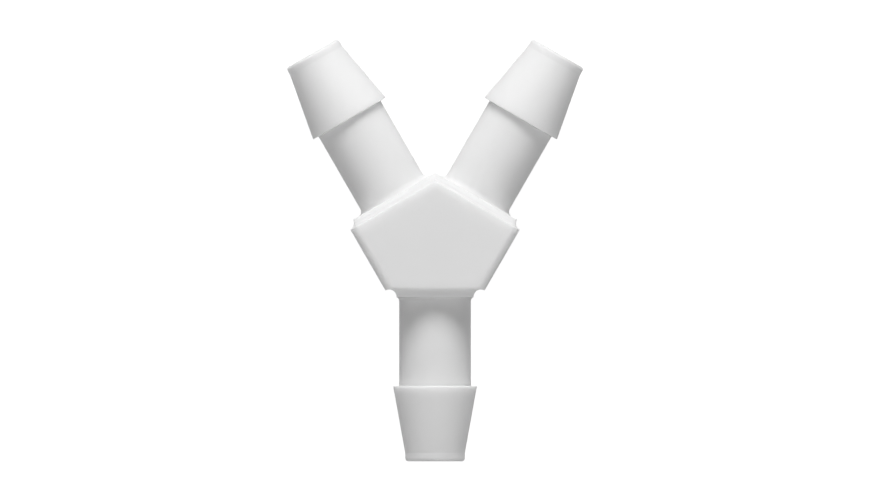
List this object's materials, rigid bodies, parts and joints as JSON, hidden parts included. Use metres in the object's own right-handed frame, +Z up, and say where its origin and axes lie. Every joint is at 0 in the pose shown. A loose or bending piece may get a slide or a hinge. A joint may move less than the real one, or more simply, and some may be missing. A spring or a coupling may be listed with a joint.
{
  "type": "tubing y connector",
  "caption": "One-piece moulded Y connector that joins flexible hoses, with a block hub, plain necks and a single hose barb on each tube.",
  "frame": {"origin": "on the resting back face of the hub, straight below the point where the three tube axes meet", "axes": "+Y runs between the two arms and away from the stem, +X to the right arm's side, +Z up and out of the hub's front face"},
  "size_m": [0.0412, 0.0588, 0.0153],
  "materials": {
    "white_plastic": "satin, slightly translucent"
  },
  "bodies": {
    "root": {"y_connector": "white_plastic"}
  },
  "joints": []
}
